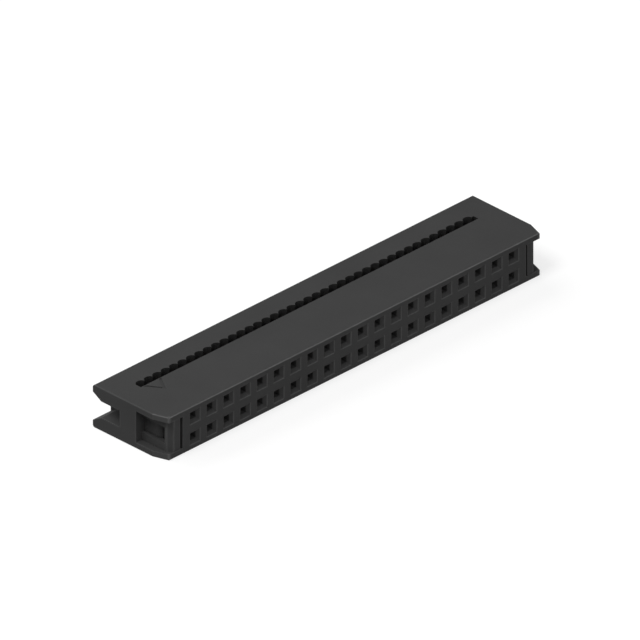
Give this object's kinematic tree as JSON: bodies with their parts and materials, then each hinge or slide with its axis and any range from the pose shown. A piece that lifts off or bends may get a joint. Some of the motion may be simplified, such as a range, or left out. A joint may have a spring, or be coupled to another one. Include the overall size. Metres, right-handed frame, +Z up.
{
  "type": "ribbon cable idc socket",
  "caption": "Low black ribbon-cable socket with two rows of square pin entries in its long mating face, a scalloped ribbon slot along the top and a latched back cover.",
  "frame": {"origin": "middle of the underside's bounding box", "axes": "+X along the contact rows, away from the marked first column; +Y from the mating face to the cover's back; +Z up to the face with the mark"},
  "size_m": [0.0452, 0.0086, 0.0042],
  "materials": {
    "housing_plastic": "fine matte moulded",
    "cover_plastic": "fine matte moulded",
    "contact_metal": "plated stamped strip"
  },
  "bodies": {
    "root": {"housing": "housing_plastic", "cover": "cover_plastic", "contact_01": "contact_metal", "contact_02": "contact_metal", "contact_03": "contact_metal", "contact_04": "contact_metal", "contact_05": "contact_metal", "contact_06": "contact_metal", "contact_07": "contact_metal", "contact_08": "contact_metal", "contact_09": "contact_metal", "contact_10": "contact_metal", "contact_11": "contact_metal", "contact_12": "contact_metal", "contact_13": "contact_metal", "contact_14": "contact_metal", "contact_15": "contact_metal", "contact_16": "contact_metal", "contact_17": "contact_metal", "contact_18": "contact_metal", "contact_19": "contact_metal", "contact_20": "contact_metal", "contact_21": "contact_metal", "contact_22": "contact_metal", "contact_23": "contact_metal", "contact_24": "contact_metal", "contact_25": "contact_metal", "contact_26": "contact_metal", "contact_27": "contact_metal", "contact_28": "contact_metal", "contact_29": "contact_metal", "contact_30": "contact_metal", "contact_31": "contact_metal", "contact_32": "contact_metal", "contact_33": "contact_metal", "contact_34": "contact_metal", "contact_35": "contact_metal", "contact_36": "contact_metal", "contact_37": "contact_metal", "contact_38": "contact_metal", "contact_39": "contact_metal", "contact_40": "contact_metal"}
  },
  "joints": []
}
